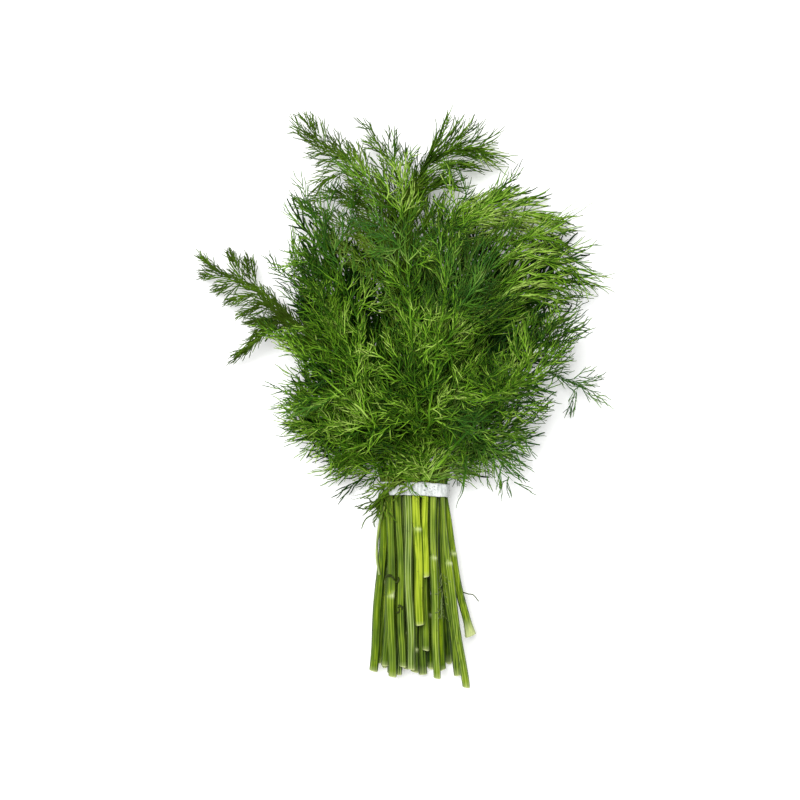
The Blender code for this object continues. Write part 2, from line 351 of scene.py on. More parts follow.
def smoothPath(points, count):
    # evenly spaced points on a Catmull-Rom curve through the given ones
    points = np.array(points)
    ends = np.vstack([2 * points[0] - points[1], points, 2 * points[-1] - points[-2]])
    fine = []
    for i in range(1, len(ends) - 2):
        a, b, c, d = ends[i - 1 : i + 3]
        for t in np.linspace(0, 1, 12, endpoint=False):
            fine.append(0.5 * (2 * b + (c - a) * t + (2 * a - 5 * b + 4 * c - d) * t**2
                               + (3 * b - a - 3 * c + d) * t**3))
    return evenly(np.array(fine + [points[-1]]), count)


def reachOf(path):
    return np.linalg.norm(np.diff(path, axis=0), axis=1).sum()


def headingOf(ahead):
    # in degrees from +Y towards +X
    return math.degrees(math.atan2(ahead[0], ahead[1]))


def linePath(points, count):
    # the same through points in mm
    return smoothPath(np.array(points) / 1000, count)


def frondSpine(name, line, turn, short):
    # a line of its own, or the middle line of a CAD frond turned as a whole; either ends short of its tip
    if line:
        path = linePath(line, 60)
        return smoothPath(path[: round(len(path) * (1 - short / reachOf(path)))], 40)
    points = nodePoints(name)
    away = np.linalg.norm(points[:, :2] - tieCentre[:2], axis=1)
    slices = max(4, round((away.max() - away.min()) / 0.018))
    edges = np.linspace(away.min(), away.max() - 0.004, slices + 1)
    middles = []
    for low, high in zip(edges, edges[1:]):
        inside = points[(away >= low) & (away <= high)]
        if len(inside):
            middles.append(inside.mean(axis=0))
    start = points[away < away.min() + 0.002].mean(axis=0)
    tip = points[away > away.max() - 0.003].mean(axis=0)
    path = smoothPath([start] + middles + [tip], 60)
    steps = np.diff(path, axis=0)
    turned = -np.radians(turn) * np.clip(np.linspace(0, 4, len(path))[1:], 0, 1)
    x = steps[:, 0] * np.cos(turned) - steps[:, 1] * np.sin(turned)
    y = steps[:, 0] * np.sin(turned) + steps[:, 1] * np.cos(turned)
    path[1:] = path[0] + np.cumsum(np.column_stack([x, y, steps[:, 2]]), axis=0)
    return smoothPath(path[: max(8, round(len(path) * (1 - short / reachOf(path))))], 40)


shootLook = {"steps": 16, "sink": 0.16, "lowest": 0.003, "leaflets": 0.007, "shortest": 0.006, "rise": 0.003}


def shootAt(place, heading, length, bend, rise):
    # a shoot that starts at a place with a heading in degrees, bends on its way, rises, and sinks at its end
    steps = shootLook["steps"]
    points = [place]
    for step in range(steps):
        gone = (step + 1) / steps
        angle = math.radians(heading + bend * gone)
        sunk = shootLook["sink"] * length * gone**2
        height = place[2] + rise * math.sin(math.pi * gone * 0.8) - sunk
        x = points[-1][0] + math.sin(angle) * length / steps
        y = points[-1][1] + math.cos(angle) * length / steps
        points.append(np.array([x, y, max(height, shootLook["lowest"])]))
    return np.array(points)


def shootFrom(path, share, turn, length, bend, rise):
    # a side shoot: leaves path at a share of its length, turned by turn degrees
    at = round(share * (len(path) - 1))
    ahead = path[min(at + 2, len(path) - 1)] - path[max(at - 2, 0)]
    return shootAt(path[at], headingOf(ahead) + turn, length, bend, rise)


def aimedShoot(path, fromX, fromY, toX, toY, bend=0):
    # a side shoot between two places in mm: from what lies nearest on path to the first, ending at the second
    start = path[np.argmin(np.linalg.norm(path[:, :2] * 1000 - (fromX, fromY), axis=1))]
    ahead = np.array([toX, toY]) / 1000 - start[:2]
    # a bent one is longer, and its own leaflets reach on past its end
    length = math.hypot(*ahead) * (1 + (bend / 200) ** 2) - shootLook["leaflets"]
    length = max(length, shootLook["shortest"])
    return shootAt(start, headingOf(ahead) - bend / 2, length, bend, shootLook["rise"])


def cuffShoots(seed, count, spine):
    # short ones just above the band, which cover the stalks there
    pick = np.random.default_rng(seed + 900)
    left = spine[0][0] < 0.004  # these also hang over the band
    base = spine[0] + (0, -0.0050 if left else 0.0002, 0.0045)
    plans = []
    for number in range(count):
        place = base + (pick.uniform(-0.004, 0.004), pick.uniform(-0.001, 0.006), pick.uniform(0, 0.002))
        side = 1 if (number + seed) % 2 else -1
        heading = side * pick.uniform(25, 115 if left else 70)
        plans.append(shootAt(place, heading, pick.uniform(0.013, 0.021), side * pick.uniform(-70, 20),
                             pick.uniform(0.002, 0.005)))
    return plans


def someShoots(seed, count, first, last, length):
    # shoots alternately left and right, with the given seed's chances
    pick = np.random.default_rng(seed)
    plans = []
    for number in range(count):
        share = first + (last - first) * (number + pick.uniform(-0.3, 0.3)) / max(count - 1, 1)
        side = 1 if (number + seed) % 2 else -1
        turn = side * pick.uniform(22, 60)
        size = length * (1 - 0.4 * share) * pick.uniform(0.8, 1.15)
        bend = -side * pick.uniform(-20, 50)
        plans.append((min(max(share, 0.0), 0.95), turn, size, bend, pick.uniform(0.0, 0.010)))
    return plans


def fanShoots(count, spread, reach):
    # straight ones in a fan, alternately left and right, which together floor the bunch
    return [(0.04 + 0.66 * share, spread * side, reach * (0.82 - 0.56 * share), 0, 0.0)
            for share, side in ((number / count, 1 if number % 2 else -1) for number in range(count))]


def tuftShoots(seed, count):
    # short curled ones on top of a frond, which point anywhere
    pick = np.random.default_rng(seed + 300)
    ranges = ((0.12, 0.74), (-150, 150), (0.016, 0.026), (-80, 80), (0.006, 0.012))
    return [tuple(pick.uniform(*ends) for ends in ranges) for _ in range(count)]


def collarShoots(seed, count, spine):
    # short ones near the tie, which point every way but down and hide the stalks' ends
    pick = np.random.default_rng(seed + 500)
    heading = headingOf(spine[3] - spine[0])
    ranges = ((0.0, 0.30), (-90 - heading, 76 - heading), (0.022, 0.034), (-40, 20), (0.004, 0.012))
    return [tuple(pick.uniform(*ends) for ends in ranges) for _ in range(count)]


def pathMesh(name, paths, bare, hairs=()):
    # one line for each path; the first is the stem, bare for a share of its length; hairs bear nothing
    points = []
    edges = []
    bareness = []
    for number, path in enumerate([*paths, *hairs]):
        edges += [(len(points) + i, len(points) + i + 1) for i in range(len(path) - 1)]
        bareness += [1.0 if number >= len(paths) else 0.0 if number else bare] * len(path)
        points += [tuple(point) for point in path]
    mesh = bpy.data.meshes.new(name)
    mesh.from_pydata(points, edges, [])
    mesh.attributes.new("bare", "FLOAT", "POINT").data.foreach_set("value", bareness)
    return mesh


def shaderMaterial(name):
    material = bpy.data.materials.new(name)
    material.use_nodes = True
    tree = Tree(material.node_tree)
    shader = material.node_tree.nodes["Principled BSDF"]
    return material, tree, shader


def readAll(tree, *names):
    return [tree.make("ShaderNodeAttribute", {"attribute_name": name}, out="Fac") for name in names]


def noiseOf(tree, vector, scale, detail):
    return tree.make("ShaderNodeTexNoise", {}, {"Vector": vector, "Scale": scale, "Detail": detail}, "Fac")


def mixColour(tree, factor, low, high):
    low = low if isinstance(low, Wire) else (*low, 1)
    high = high if isinstance(high, Wire) else (*high, 1)
    return tree.make("ShaderNodeMix", {"data_type": "RGBA"},
                     {"Factor_Float": factor, "A_Color": low, "B_Color": high}, "Result_Color")


foliageColours = {
    "stops": [(0.0, (0.006, 0.038, 0.0005)), (0.38, (0.045, 0.140, 0.003)), (0.72, (0.195, 0.395, 0.020)),
              (1.0, (0.42, 0.60, 0.12))],
    "bluish": (0.036, 0.140, 0.020), "tip": (0.066, 0.086, 0.012), "olive": (0.062, 0.105, 0.003),
    # patches to the metre
    "patch": 30.0, "blueness": 19.0,
}


def foliageFinish():
    material, tree, shader = shaderMaterial("dillThreads")
    tone, along, tuft, cool = readAll(tree, "tone", "along", "tuft", "cool")
    coordinates = tree.make("ShaderNodeTexCoord", out="Object")
    c = foliageColours
    patch = noiseOf(tree, coordinates, c["patch"], 1.0)
    bright = tone * 0.58 + (patch - 0.5) * 1.4 + tuft * 0.50 + along * 0.06 + 0.135
    colour = tree.make("ShaderNodeValToRGB", {"stops": c["stops"]}, {"Fac": bright}, "Color")
    blue = noiseOf(tree, coordinates, c["blueness"], 0.0)
    colour = mixColour(tree, (blue + tuft * 0.12).ramp(0.57, 5.0, 0.6) * cool, colour, c["bluish"])
    colour = mixColour(tree, (1 - cool) * 0.55, colour, c["olive"])
    ends = ((along - 0.55) * 2.0).math("MULTIPLY", 0.45 + tone * 0.6, clamp=True)
    colour = mixColour(tree, ends, colour, c["tip"])
    tree.feed(shader, {"Base Color": colour, "Roughness": 0.6, "Specular IOR Level": 0.10})
    return material


dill = foliageFinish()
branches = branchTree()
fronds = frondTree(branches)
nodeNames = sorted(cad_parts)
total = 0
# what differs from frond to frond; the lowest rows close the gaps with longer, thicker threads. Painted
# shade: the lowest and under rows' threads are coloured darker, and painted light makes the top row's
# lighter, for the depth of the bunch
rowLooks = {
    "lowest": {
        "Leaflet spacing": 0.0066, "Leaflet length": 0.027, "Leaflet spread": 1.0, "Leaflet taper": 0.6,
        "Twig spacing": 0.0036, "Twig length": 0.013, "Thread spacing": 0.0045, "Thread length": 0.009,
        "Thread radius": 0.00075, "Stem radius": 0.0014, "Dimmest": -0.55, "Brightest": 0.15,
        "short": 0.026, "fan": 8, "bare": 0.05,
    },
    "under": {
        "Leaflet spacing": 0.0054, "Leaflet length": 0.026, "Leaflet shortest": 0.007, "Twig spacing": 0.003,
        "Twig length": 0.011, "Thread spacing": 0.0036, "Thread length": 0.007, "Thread radius": 0.00048,
        "Dimmest": -0.3, "Brightest": 0.6, "shoots": 7, "shootLength": 0.055, "bare": 0.05,
    },
    "middle": {"shoots": 6, "collar": 1, "tufts": 1, "cuff": 1, "bare": 0.15, "Brightest": 0.95},
    "top": {"Roll": 1.2, "shoots": 6, "collar": 4, "tufts": 3, "cuff": 9, "bare": 0.2, "Brightest": 1.15},
}
brush = {
    "Leaflet spacing": 0.0038, "Leaflet length": 0.015, "Leaflet spread": 0.7, "Leaflet taper": 0.55,
    "Leaflet shortest": 0.006, "Roll": 0.6, "Sway": 0.006, "Ripple": 0.002, "Thread length": 0.0045,
    "Twig length": 0.0062, "Twig spacing": 0.0015, "Twig spread": 0.6, "Thread spread": 0.5,
    "Thread radius": 0.00034, "Thread spacing": 0.0023,
}
tress = {
    "Leaflet length": 0.025, "Leaflet shortest": 0.007, "Leaflet spread": 0.5, "Leaflet closing": 0.15,
    "Twig length": 0.014, "Twig spacing": 0.0026, "Twig spread": 0.34, "Twig curl": 0.4,
    "Thread length": 0.01, "Thread spread": 0.28, "Thread spacing": 0.004, "Sway": 0.012, "Ripple": 0.0015,
}
# line: the middle line in mm where a frond needs its own; aims: shoots from one place to another in mm, and
# how far they bend; shoots: how many, or share along, turn, length, bend and rise; hairs: lines in mm
frondLooks = {
    "frond_01": {"short": 0.036, "aims": [(-24, -36, -56, 4), (-40, -30, -58, 20)]},
    "frond_02": {
        "short": 0.024, "spread": 14,
        "aims": [
            (-20, 2, -46, 92), (-34, 24, -52, 98), (-20, 2, -24, 84), (-20, 2, -49, 74), (-34, 24, -34, 94)],
    },
    "frond_03": {"short": 0.016, "aims": [(6, 0, 38, 80), (6, 20, 27, 102), (6, 30, -18, 102)]},
    "frond_04": {
        "turn": -4, "short": 0.026, "fan": 0, "shoots": [],
        "aims": [
            (20, -30, 42, 74), (30, -15, 58, 94), (43, 0, 72, 98), (55, 16, 84, 88), (62, 26, 90, 74),
            (67, 32, 88, 58), (43, 0, 80, 36), (55, 16, 86, 44), (30, -15, 74, 18), (20, -30, 58, 8),
            (43, 0, 54, 78), (50, 8, 78, 80), (30, -15, 46, 98), (43, 0, 64, 97), (55, 16, 78, 94),
            (67, 32, 89, 66), (62, 26, 91, 80), (55, 16, 86, 54), (43, 0, 77, 22), (30, -15, 68, 2)],
    },
    "frond_05": {
        "short": 0.034, "fan": 0,
        "aims": [
            (12, -45, 42, -34), (20, -46, 54, -30), (12, -45, 37, -42), (16, -46, 40, -26),
            (26, -47, 66, -26), (20, -46, 62, -16), (26, -47, 70, -18)],
    },
    "frond_06": {
        "turn": 14, "short": 0.026, "shoots": 2, "Leaflet length": 0.015, "Leaflet shortest": 0.006,
        "Leaflet spacing": 0.004, "Ripple": 0.004, "Sway": 0.01,
        "aims": [
            (6, -45, -24, -37, -20), (6, -45, -14, -46, -20), (-20, -40, -50, -26, 30),
            (-14, -42, -42, -36, 30), (-20, -40, -34, -36)],
    },
    "frond_07": {
        **brush, "Cool": 0.0, "Leaflet spacing": 0.0019, "Leaflet length": 0.0092, "Leaflet spread": 0.58,
        "Twig length": 0.0056, "Thread radius": 0.00036, "bare": 0.15, "short": 0.004,
        "line": [
            (4, -44, 10), (-14, -10, 14), (-38.9, 24.1, 18), (-61.3, 45.4, 18), (-74.2, 57.7, 16),
            (-85, 64, 14), (-98, 69.5, 12), (-107, 76, 10)],
        "aims": [
            (-79.2, 60, -86.5, 81), (-87, 65, -95.5, 83), (-77, 58, -97, 56, 20), (-88, 65, -104, 63),
            (-96, 68, -111, 70), (-64, 48, -92.1, 22), (-61, 45, -84, 44, 20), (-70, 53, -90, 49),
            (-40, 26, -64, 34), (-52, 37, -80, 58, 5)],
    },
    "frond_08": {
        **brush, "Cool": 0.3, "Leaflet spacing": 0.004, "Leaflet length": 0.013, "short": 0.006,
        "bare": 0.35, "Dimmest": 0.0, "Brightest": 0.9,
        "line": [
            (7, -44, 10), (6, 10, 14), (5, 70, 17), (3.1, 110.9, 17), (-2.5, 124.9, 16), (-12, 141.7, 13),
            (-19, 156, 11)],
        "aims": [
            (-8.1, 135, -19.3, 145.6), (-3, 126, -5.3, 149.5), (2, 114, 2.5, 139), (3, 100, -14, 134, 10),
            (3, 90, 12, 128, 10), (4, 75, -12, 116)],
    },
    "frond_09": {"turn": 5, "short": 0.04, "Brightest": 0.9},
    "frond_10": {
        **tress, "Leaflet length": 0.018, "short": 0.008, "Dimmest": 0.3, "Brightest": 1.4,
        "line": [
            (11, -44, 10), (12, 0, 14), (14, 45, 17), (17.1, 78, 18), (28, 94, 18), (46, 102, 17),
            (64, 103, 15), (78, 96, 13)],
        "aims": [
            (14, 50, 46, 92, 40), (15, 62, 34, 109, 30), (20, 85, 52, 114, 50), (26, 92, 34, 111, 20),
            (32, 96, 70, 113, 40), (17, 78, 62, 92, 60), (46, 102, 85, 101, 40), (30, 94, 72, 92, 60),
            (14, 45, 30, 84, 10), (13, 30, 50, 80, 20), (18, 82, 54, 101, 40), (56, 104, 88, 88, 40),
            (17, 78, 14, 110, -10), (18, 82, 25, 113, 10), (16, 70, 8, 104, -10), (24, 90, 44, 115, 20),
            (34, 97, 60, 116, 30)],
    },
    "frond_11": {
        **brush, "Stem radius": 0.0005, "Leaflet length": 0.008, "Leaflet spacing": 0.0028,
        "Twig spacing": 0.0022, "Twig length": 0.004, "Thread radius": 0.0003, "short": 0.002,
        "Dimmest": -0.1, "Brightest": 0.5,
        "line": [
            (12, -44, 8), (45.1, -20.7, 12), (73.1, 8.4, 16), (83.7, 14.6, 16), (90.4, 10.8, 15),
            (98.3, 9.5, 14), (105, 3.9, 12), (108, 1.9, 11)],
        "aims": [
            (98.3, 9.5, 112, 12), (90.4, 10.6, 106, 14.5), (98.3, 9.5, 93, -7), (80, 13, 92, 26),
            (76, 11, 91, 36, 10), (60, -4, 80, -6, 10)],
    },
    "frond_12": {"turn": 16, "short": 0.026, "aims": [(6, -45, -28, -36), (6, -45, -12, -48)]},
    "frond_13": {
        "short": 0.026, "Leaflet length": 0.017, "Leaflet shortest": 0.006, "Ripple": 0.003, "Sway": 0.012,
        "aims": [
            (-26, -30, -59, -12, -50), (-30, -28, -56, -22, -50), (-36, -24, -67, 7, -40),
            (-20, -34, -60, 16, -20), (-34, -26, -65, -1, -40)],
    },
    "frond_14": {
        "turn": 2, "short": 0.017,
        "shoots": [
            (0.15, -36, 0.034, 20, 0.008), (0.28, 38, 0.036, -10, 0.006), (0.42, -36, 0.034, 10, 0.006),
            (0.56, 34, 0.036, -30, 0.006), (0.7, -34, 0.018, 10, 0.004), (0.74, 38, 0.026, -20, 0.003),
            (0.88, 40, 0.02, -20, 0.003)],
    },
    "frond_15": {
        **brush, "Cool": 0.0, "Leaflet spacing": 0.0032, "bare": 0.2, "Leaflet length": 0.012,
        "short": 0.011,
        "line": [
            (6, -44, 14), (2, 0, 19), (-3, 50, 23), (-8.1, 105.3, 24), (-20, 125, 24), (-33.9, 134.4, 22),
            (-49.6, 143.4, 19), (-58.5, 152.5, 16), (-61.5, 158.5, 14)],
        "aims": [
            (-16.5, 119.3, -26, 142), (-26.6, 129.4, -38.5, 146), (-36.1, 136.1, -50, 155),
            (-43.4, 140.6, -55, 158), (-38.9, 137.2, -51, 136.5), (-24, 127, -48, 118, -20),
            (-32, 133, -40.5, 131), (-9, 108, -30, 124), (-4, 70, -26, 100), (-4, 60, 6, 100),
            (-8, 104, -50, 113, -20), (-5, 80, -46, 106, -10), (-4, 60, -42, 92, -10), (-7, 96, -36, 116),
            (-16.5, 119.3, -34, 138), (-24, 127, -41, 142)],
    },
    "frond_16": {
        **tress, "Cool": 0.5, "short": 0.008, "bare": 0.25, "Leaflet length": 0.013,
        "Leaflet spacing": 0.0024, "Leaflet spread": 0.5, "Twig length": 0.009, "Twig spacing": 0.002,
        "Sway": 0.006,
        "line": [
            (10, -44, 14), (6, 10, 19), (3, 60, 22), (4.5, 98, 22), (8, 118, 22), (18, 131.5, 21),
            (31, 137.5, 20), (44, 137, 18), (52, 132, 17)],
        "aims": [
            (14, 127, 26, 153), (20, 132, 32, 151), (27, 136, 39, 151, 10), (33.9, 137, 44, 148, 20),
            (40, 137, 49, 144, 30), (39.5, 137, 50, 131, 30), (24, 134, 46, 140, 40), (10, 120, 21, 142),
            (10, 122, 36, 130, 40), (5, 104, 24, 120, 20), (4, 90, -6, 114), (4, 80, 20, 106),
            (6, 110, 28, 122, 40), (4, 96, 12, 118), (18, 131, 40, 131, 30), (27, 136, 47, 134, 30),
            (6, 112, 31, 119, 40)],
    },
    "frond_17": {
        **tress, "short": 0.008, "Dimmest": 0.35, "Brightest": 1.5,
        "line": [
            (10, -44, 16), (22, -5, 24), (36, 30, 30), (52, 58, 32), (70, 72, 31), (84, 76, 28),
            (95, 72, 25), (100, 66, 22)],
        "aims": [
            (22, -4, 50, 40, 20), (30, 16, 50, 62, 30), (40, 38, 74, 58, 50), (48, 52, 62, 82, 30),
            (60, 66, 88, 84, 40), (64, 70, 92, 60, 60), (80, 76, 98, 62, 40), (44, 46, 78, 64, 40),
            (36, 30, 66, 44, 30), (50, 54, 84, 54, 40), (30, 16, 60, 24, 30), (84, 76, 104, 86, 20),
            (78, 75, 103, 76, 30), (90, 74, 102, 60, 30), (60, 62, 98, 64, 10), (50, 56, 92, 57, 30)],
    },
    "frond_18": {
        "turn": 2, "short": 0.026, "Leaflet length": 0.014, "Leaflet shortest": 0.007,
        "Leaflet spacing": 0.0038, "Twig spread": 0.6, "Sway": 0.014,
        "shoots": [(0.25, -50, 0.03, 20, 0.003), (0.45, -40, 0.03, 0, 0.003)],
        "aims": [
            (46, -20, 66, -51, -10), (52, -17, 75, -22, 10), (50, -18, 70, -14), (36, -28, 53, -47, 10),
            (44, -21, 70, -33), (40, -24, 64, -39), (30, -32, 58, -36), (36, -28, 68, -24),
            (26, -34, 44, -40), (12, -45, 40, -36), (12, -45, 34, -43), (48, -18, 70, -8)],
    },
    "frond_19": {"short": 0.024, "aims": [(4, -45, -22, -40)]},
    "frond_20": {
        "turn": -2, "short": 0.022, "Leaflet length": 0.018, "Leaflet taper": 0.5,
        "shoots": [
            (0.15, 40, 0.03, 20, 0.004), (0.28, -40, 0.034, -20, 0.004), (0.4, 36, 0.036, 10, 0.004),
            (0.52, -30, 0.026, -20, 0.004), (0.7, 30, 0.02, -30, 0.002)],
    },
    "frond_21": {
        "Leaflet length": 0.018, "Leaflet shortest": 0.007, "short": 0.008,
        "line": [(5, -44, 20), (-8, -4, 32), (-22, 40, 38), (-36, 80, 36), (-46, 100, 32), (-53, 112, 28)],
        "aims": [
            (-8, -4, -34, 30), (-12, 10, 8, 44), (-20, 34, -46, 58), (-24, 46, -4, 84), (-30, 60, -58, 78),
            (-34, 74, -58, 99), (-36, 80, -22, 112), (-42, 92, -36, 116), (-26, 54, -56, 64),
            (-38, 86, -53, 110), (-30, 62, -60, 82)],
    },
    "frond_22": {"turn": 3},
    "frond_23": {"turn": -3, "short": 0.028},
    "frond_24": {
        **tress, "Leaflet length": 0.02, "short": 0.012, "Dimmest": 0.25, "Brightest": 1.35,
        "line": [
            (12, -44, 20), (18, -5, 34), (26, 30, 40), (39.5, 60, 40), (60, 82, 36), (82, 95, 31),
            (91, 99, 28)],
        "aims": [
            (18, -4, 36, 42, 20), (22, 14, 20, 62), (28, 34, 56, 68, 40), (34, 50, 40, 92, 20),
            (42, 66, 74, 84, 30), (50, 74, 64, 98, 40), (62, 84, 88, 98, 10), (70, 88, 95, 93, 20),
            (70, 88, 92, 82, 40), (26, 30, 60, 52, 40), (56, 78, 88, 74, 50), (34, 50, 55, 94, 30)],
        "hairs": [
            [(66, 86, 35), (84, 99, 34), (97, 109.5, 32)], [(70, 88, 35), (88, 100, 33), (101, 107, 31)],
            [(74, 88, 34), (92, 99, 32), (106, 108.5, 30)], [(78, 90, 34), (90, 97, 32), (100, 101, 30)]],
    },
    "frond_25": {
        "short": 0.006, "Stem radius": 0.0011, "Dimmest": 0.1, "Brightest": 1.3, "Leaflet length": 0.02,
        "line": [(13, -44, 24), (32, -22, 42), (54, -2, 54), (72, 14, 55), (84, 22, 52), (90, 25, 48)],
        "aims": [
            (24, -30, 44, 14, 10), (40, -14, 68, 36, 10), (52, -4, 84, 46, 20), (64, 6, 92, 53, 10),
            (74, 14, 92, 42, 20), (54, -2, 78, -5, 20), (66, 8, 86, 6, 20), (36, -18, 62, -16, 20),
            (80, 18, 91, 30, 10), (30, -24, 30, 10), (13, -44, 36, -40, 30), (13, -44, 32, -46, 20),
            (13, -44, 26, -36)],
        "hairs": [
            [(36, -30, 40), (35.2, -40, 40), (34.5, -49, 34), (31.2, -60, 25)],
            [(36.2, -30, 40), (36, -40, 40), (35, -48, 35), (33, -54, 30)],
            [(35, -44, 38), (33.4, -50, 34), (32.2, -53, 31)]],
    },
}

plainLook = {
    "turn": 0.0, "short": 0.014, "line": None, "shoots": 0, "aims": [], "shootLength": 0.05, "fan": 0,
    "spread": 22, "collar": 0, "tufts": 0, "cuff": 0, "hairs": [],
}
frondRows = {"lowest": range(5), "under": range(5, 11), "middle": range(11, 18), "top": range(18, 25)}


def standFor(piece, name):
    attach(piece, "root")
    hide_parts(name)
    return sum(len(p.vertices) - 2 for p in piece.data.polygons)


def makeFrond(name, number):
    row = next(row for row, numbers in frondRows.items() if number in numbers)
    look = {**plainLook, **rowLooks[row], **frondLooks.get(name, {})}
    line = look.pop("line")
    spine = frondSpine(name, line, look.pop("turn"), look.pop("short"))
    hairs = [linePath(points, 16) for points in look.pop("hairs")]
    plans, longest = look.pop("shoots"), look.pop("shootLength")
    if line:
        plans = []
    elif isinstance(plans, int):
        plans = someShoots(number, plans, 0.10, 0.85, min(0.3 * reachOf(spine), longest))
    plans = plans + fanShoots(look.pop("fan"), look.pop("spread"), reachOf(spine))
    plans = plans + collarShoots(number, look.pop("collar"), spine) + tuftShoots(number, look.pop("tufts"))
    paths = [spine] + [shootFrom(spine, *plan) for plan in plans]
    paths += [aimedShoot(spine, *aim) for aim in look.pop("aims")]
    paths += cuffShoots(number, look.pop("cuff"), spine)
    piece = bakeTree("dill_" + name, pathMesh(name + "Path", paths, look.pop("bare"), hairs), fronds,
                     {"Seed": number + 1, "Finish": dill, **look})
    return standFor(piece, name)


for number, name in enumerate(n for n in nodeNames if n.startswith("frond_")):
    count = makeFrond(name, number)
    total += count
    print(name, "triangles", count)
print("foliage", total, "triangles")


# The small sprig at the left end of the band: curly threads, two loose ones over the band

sprigLook = {
    # lines in mm
    "paths": [
        [(-7, -50, 19.5), (-9.5, -54, 20.5), (-12, -57, 20), (-14.8, -58.8, 17)],
        [(-8, -49, 19), (-11.5, -51.5, 20.5), (-13, -55, 20), (-10.5, -60, 19)],
        [(-8, -50, 21.5), (-10.5, -54.5, 21.5), (-10, -59, 20.5), (-12, -62.5, 19)],
        [(6, -43, 27), (1, -46.2, 26.2), (-4, -49, 25), (-7.5, -52, 23)],
        [(0, -42, 26), (-5.5, -44.5, 25.5), (-11, -48, 21.5)],
        [(9, -42.5, 27.5), (7.5, -45.5, 26.5), (4, -49, 25)],
    ],
    "hairs": [
        [(-12, -50, 18), (-16.5, -53, 19), (-21.5, -52.8, 18), (-26.5, -53.6, 16.5)],
        [(-12, -49.5, 17.5), (-16, -50, 19), (-20, -50.8, 18), (-25, -50, 16.5)],
    ],
    "tree": {
        "Stem radius": 0.001, "Leaflet spacing": 0.0021, "Leaflet length": 0.006, "Leaflet shortest": 0.0035,
        "Leaflet spread": 1.1, "Twig spacing": 0.0022, "Twig length": 0.0032, "Thread length": 0.0024,
        "Thread spacing": 0.0024, "Thread radius": 0.0005, "Sway": 0.006, "Ripple": 0.012, "Roll": 1.5,
        "Seed": 91, "Cool": 0.0, "Dimmest": 0.5, "Brightest": 1.3,
    },
}


def makeSprig():
    paths = [linePath(points, 20) for points in sprigLook["paths"]]
    hairs = [linePath(points, 16) for points in sprigLook["hairs"]]
    piece = bakeTree("dill_sprig", pathMesh("sprigPath", paths, 0.0, hairs), fronds,
                     {"Finish": dill, **sprigLook["tree"]})
    return standFor(piece, "low_sprig")


total += makeSprig()

# Stalks: ridged tubes with a pale swollen joint, a thinner branch above it, and a pale cut end

stalkLook = {
    "steps": 36, "sides": 16, "ridges": 8.0, "depth": 0.055, "wobble": 0.0005, "waves": (95, 70),
    "waist": 0.0008, "waistFrom": -0.145, "waistOver": 0.095,
    # round a joint in 0.1 mm, and how much it swells; how long and how wide the flared end is
    "jointSteps": (-24, -16, -10, -5, 0, 5, 10, 16, 24), "swell": 1.05, "flare": (0.009, 0.45),
    "tones": {"stalk_06": 0.35, "stalk_12": 0.40, "stalk_18": 0.50, "stalk_19": 0.50, "stalk_20": 0.42,
              "stalk_21": 0.45, "stalk_22": 0.92, "stalk_23": 0.98, "stalk_24": 0.62, "stalk_25": 0.55},
    "greys": {"stalk_21": 0.9, "stalk_24": 0.45, "stalk_14": 0.5, "stalk_25": 0.35},
    "flared": "stalk_18",
    # dry curls, in mm: place, heading, length, bend and radius
    "bits": [
        (-6.2, -97.2, 60, 4.2, 120, 0.45), (-4.6, -96.8, -40, 3.8, -120, 0.5),
        (-1, -97.6, 150, 4, 110, 0.45), (-3, -96.2, 20, 3.2, -90, 0.4), (-0.8, -113.2, 70, 3.4, 130, 0.5),
        (1.4, -114, -30, 3, -130, 0.4), (-0.4, -115.2, 160, 3, 120, 0.45)],
    # a limp wisp lying down the stalks, in mm: its start, length and radius, and how many threads leave it
    "wisp": (23.6, -95, 26, 0.26, 16),
    # thin lines beside a stalk in mm, with their radius and paleness from end to end
    "extra": {
        "stalk_18": ([(33.5, -106, 12), (37.5, -107.2, 15), (40.5, -107.8, 15), (43.6, -111.5, 13)],
                     0.28, -0.8, -0.8),
        "stalk_12": ([(-7, -53.5, 19.5), (-11.2, -68, 18.5), (-12.8, -85, 17.2), (-11.2, -96.5, 16.5)],
                     0.7, 0.25, 0.6),
    },
}


def stalkTree():
    tree, wire = geometryTree("stalk", {
        "Sides": 24, "Ridges": 8.0, "Depth": 0.05, "Skew": 0.0006, "Finish": None,
    })
    line = upright(tree, tree.make("GeometryNodeMeshToCurve", {}, {"Mesh": wire["Geometry"]}))
    ring = tree.make("GeometryNodeCurvePrimitiveCircle", {}, {"Resolution": wire["Sides"], "Radius": 1.0})
    x, y, z = splitXyz(tree)
    stripe = (y.math("ARCTAN2", x) * wire["Ridges"]).math("COSINE")
    ring = keep(tree, ring, "stripe", stripe)
    # side is where round the ring a point lies, read for the slanted cut and for the painted shade on a
    # stalk's flanks
    ring = keep(tree, ring, "side", x)
    swell = 1 + attribute(tree, "stripe") * wire["Depth"]
    ring = moveTo(tree, ring, x * swell, y * swell, z)
    body = tree.make("GeometryNodeCurveToMesh", {}, {
        "Curve": line, "Profile Curve": ring, "Scale": attribute(tree, "thick"), "Fill Caps": True,
    })
    slant = attribute(tree, "side") * attribute(tree, "cut") * attribute(tree, "slant") * wire["Skew"]
    offset = joinXyz(tree, 0.0, slant, 0.0)
    body = tree.make("GeometryNodeSetPosition", {}, {"Geometry": body, "Offset": offset})
    body = tree.make("GeometryNodeSetShadeSmooth", {}, {"Geometry": body})
    bend = tree.make("GeometryNodeInputMeshEdgeAngle", out="Unsigned Angle")
    body = tree.make("GeometryNodeSetShadeSmooth", {"domain": "EDGE"},
                     {"Geometry": body, "Selection": bend.above(0.8), "Shade Smooth": False})
    return endTree(tree, body, wire["Finish"])


